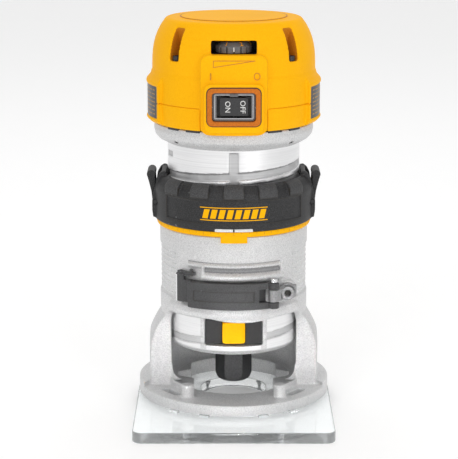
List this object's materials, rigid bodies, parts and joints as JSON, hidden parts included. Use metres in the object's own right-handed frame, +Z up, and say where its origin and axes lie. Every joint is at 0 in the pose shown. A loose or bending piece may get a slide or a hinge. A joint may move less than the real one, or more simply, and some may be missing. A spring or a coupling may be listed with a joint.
{
  "type": "compact fixed-base router",
  "caption": "Compact router motor clamped in a fixed base with a helical depth ring, release tabs, clamp lever, spindle lock and clear sub-base.",
  "frame": {"origin": "centre of the bit opening on the underside of the sub-base, on the spindle axis", "axes": "+Z up along the spindle axis, -Y out of the front where the switch, lever and chip window are, +X to the right seen from behind the tool"},
  "size_m": [0.1024, 0.126, 0.2066],
  "materials": {
    "base_casting": "cast and satin, fine speckle",
    "sub_base": "clear, polished",
    "sub_base_screws": "zinc plated",
    "guide_dowel": "ground",
    "ring_retainer": "spring steel",
    "catch_plate": "satin",
    "hinge_strap": "satin",
    "clamp_screw": "black oxide",
    "lever_pin": "satin",
    "clamp_lever": "satin",
    "scale_ring": "satin moulded",
    "depth_ring": "textured, fine speckle",
    "scale_window": "gloss",
    "tab_pins": "bright",
    "tab_springs": "spring steel",
    "release_tab_left": "textured",
    "release_tab_right": "textured",
    "guide_pin_left": "ground",
    "guide_pin_right": "ground",
    "motor_housing": "turned barrel, cast flange",
    "lower_cap": "fine texture",
    "upper_cap": "fine texture",
    "vent_grilles": "matte",
    "cap_screws": "black oxide",
    "label_plates": "matte film",
    "cord_gland": "matte",
    "switch_bezel": "satin",
    "switch_body": "satin",
    "switch_rocker": "matte",
    "dial_frame": "matte",
    "speed_dial": "matte",
    "speed_module": "circuit board",
    "bearing_bridge": "moulded",
    "bridge_screws": "zinc plated",
    "stator_core": "stacked sheet",
    "stator_windings": "enamelled copper",
    "brush_holders": "brass",
    "carbon_brushes": "graphite",
    "brush_springs": "spring steel",
    "upper_bearing": "ground",
    "lower_bearing": "ground",
    "bearing_retainer": "plated",
    "light_lenses": "clear",
    "lock_housing": "satin",
    "lock_spring": "spring steel",
    "lock_button": "satin",
    "spindle": "ground",
    "inner_races": "ground",
    "armature_core": "stacked sheet",
    "armature_windings": "enamelled copper",
    "commutator": "turned copper",
    "fan": "moulded",
    "collet": "ground",
    "collet_nut": "black oxide"
  },
  "bodies": {
    "base": {"base_casting": "base_casting", "sub_base": "sub_base", "sub_base_screws": "sub_base_screws", "guide_dowel": "guide_dowel", "ring_retainer": "ring_retainer", "catch_plate": "catch_plate", "hinge_strap": "hinge_strap", "clamp_screw": "clamp_screw", "lever_pin": "lever_pin"},
    "lever": {"clamp_lever": "clamp_lever"},
    "scale_ring": {"scale_ring": "scale_ring"},
    "depth_ring": {"depth_ring": "depth_ring", "scale_window": "scale_window", "tab_pins": "tab_pins", "tab_springs": "tab_springs"},
    "left_tab": {"release_tab_left": "release_tab_left", "guide_pin_left": "guide_pin_left"},
    "right_tab": {"release_tab_right": "release_tab_right", "guide_pin_right": "guide_pin_right"},
    "motor": {"motor_housing": "motor_housing", "lower_cap": "lower_cap", "upper_cap": "upper_cap", "vent_grilles": "vent_grilles", "cap_screws": "cap_screws", "label_plates": "label_plates", "cord_gland": "cord_gland", "switch_bezel": "switch_bezel", "switch_body": "switch_body", "dial_frame": "dial_frame", "speed_module": "speed_module", "bearing_bridge": "bearing_bridge", "bridge_screws": "bridge_screws", "stator_core": "stator_core", "stator_windings": "stator_windings", "brush_holders": "brush_holders", "carbon_brushes": "carbon_brushes", "brush_springs": "brush_springs", "upper_bearing": "upper_bearing", "lower_bearing": "lower_bearing", "bearing_retainer": "bearing_retainer", "light_lenses": "light_lenses", "lock_housing": "lock_housing", "lock_spring": "lock_spring"},
    "rocker": {"switch_rocker": "switch_rocker"},
    "dial": {"speed_dial": "speed_dial"},
    "lock_button": {"lock_button": "lock_button"},
    "spindle": {"spindle": "spindle", "inner_races": "inner_races", "armature_core": "armature_core", "armature_windings": "armature_windings", "commutator": "commutator", "fan": "fan", "collet": "collet", "collet_nut": "collet_nut"}
  },
  "joints": [
    {"name": "motor_slide", "type": "slide", "parent": "base", "child": "motor", "axis": [0, 0, 1], "range_m": [-0.0105, 0.02]},
    {"name": "ring_turn", "type": "hinge", "parent": "base", "child": "depth_ring", "pos_m": [0, 0, 0.112], "axis": [0, 0, 1], "range_deg": [-567.5, 298.5]},
    {"name": "scale_turn", "type": "hinge", "parent": "base", "child": "scale_ring", "pos_m": [0, 0, 0.0995], "axis": [0, 0, 1], "continuous": true},
    {"name": "left_tab_press", "type": "hinge", "parent": "depth_ring", "child": "left_tab", "pos_m": [-0.0407, 0, 0.1104], "axis": [0, 1, 0], "range_deg": [0, 9.5], "stiffness_Nm_per_rad": 0.4, "springref_deg": -8.59},
    {"name": "right_tab_press", "type": "hinge", "parent": "depth_ring", "child": "right_tab", "pos_m": [0.0407, 0, 0.1104], "axis": [0, -1, 0], "range_deg": [0, 9.5], "stiffness_Nm_per_rad": 0.4, "springref_deg": -8.59},
    {"name": "lever_swing", "type": "hinge", "parent": "base", "child": "lever", "pos_m": [0.0204, -0.04125, 0.0678], "axis": [0, 0, 1], "range_deg": [0, 100]},
    {"name": "spindle_spin", "type": "hinge", "parent": "motor", "child": "spindle", "pos_m": [0, 0, 0.1], "axis": [0, 0, 1], "continuous": true},
    {"name": "lock_press", "type": "slide", "parent": "motor", "child": "lock_button", "axis": [0, 1, 0], "range_m": [0, 0.0034], "stiffness_N_per_m": 600, "springref_m": -0.003, "deforming": ["lock_spring"]},
    {"name": "rocker_tip", "type": "hinge", "parent": "motor", "child": "rocker", "pos_m": [0, -0.0434, 0.1659], "axis": [0, 0, 1], "range_deg": [-8, 8]},
    {"name": "dial_turn", "type": "hinge", "parent": "motor", "child": "dial", "pos_m": [0, -0.0296, 0.193], "axis": [0, 0, 1], "range_deg": [0, 270]}
  ],
  "couplings": [
    {"joint": "ring_turn", "follows": "motor_slide", "rad_per_m": -494.74}
  ]
}
